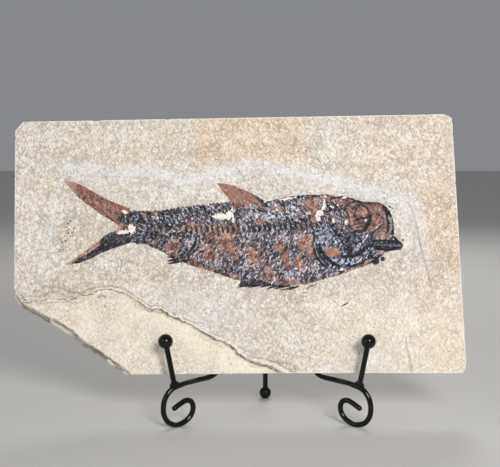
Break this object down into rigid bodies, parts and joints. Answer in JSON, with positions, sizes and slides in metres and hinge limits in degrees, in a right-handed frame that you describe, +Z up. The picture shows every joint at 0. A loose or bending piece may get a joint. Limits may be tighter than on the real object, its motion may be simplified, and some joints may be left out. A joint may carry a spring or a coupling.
{
  "type": "fossil fish slab",
  "caption": "Fossil fish in relief on a thin, hand-sawn limestone slab with a broken corner, leaning back on a black wire easel with scroll feet and ball-tipped prongs.",
  "frame": {"origin": "under the middle of the whole object's box, on the surface that it stands on", "axes": "+X to the right along the slab, towards the fish's head; +Y back, away from the slab's face; +Z up"},
  "size_m": [0.3098, 0.0836, 0.2065],
  "materials": {
    "limestone": "matte, finely granular, split along its bedding",
    "fossil_bone": "black to red-brown, glossy on the bones",
    "black_enamel": "satin black paint"
  },
  "bodies": {
    "root": {"limestone_slab": "limestone", "fossil_fish": "fossil_bone", "left_frame_wire": "black_enamel", "right_frame_wire": "black_enamel", "left_prong": "black_enamel", "right_prong": "black_enamel", "left_ball_tip": "black_enamel", "right_ball_tip": "black_enamel", "rear_leg": "black_enamel", "rear_ball_foot": "black_enamel"}
  },
  "joints": []
}
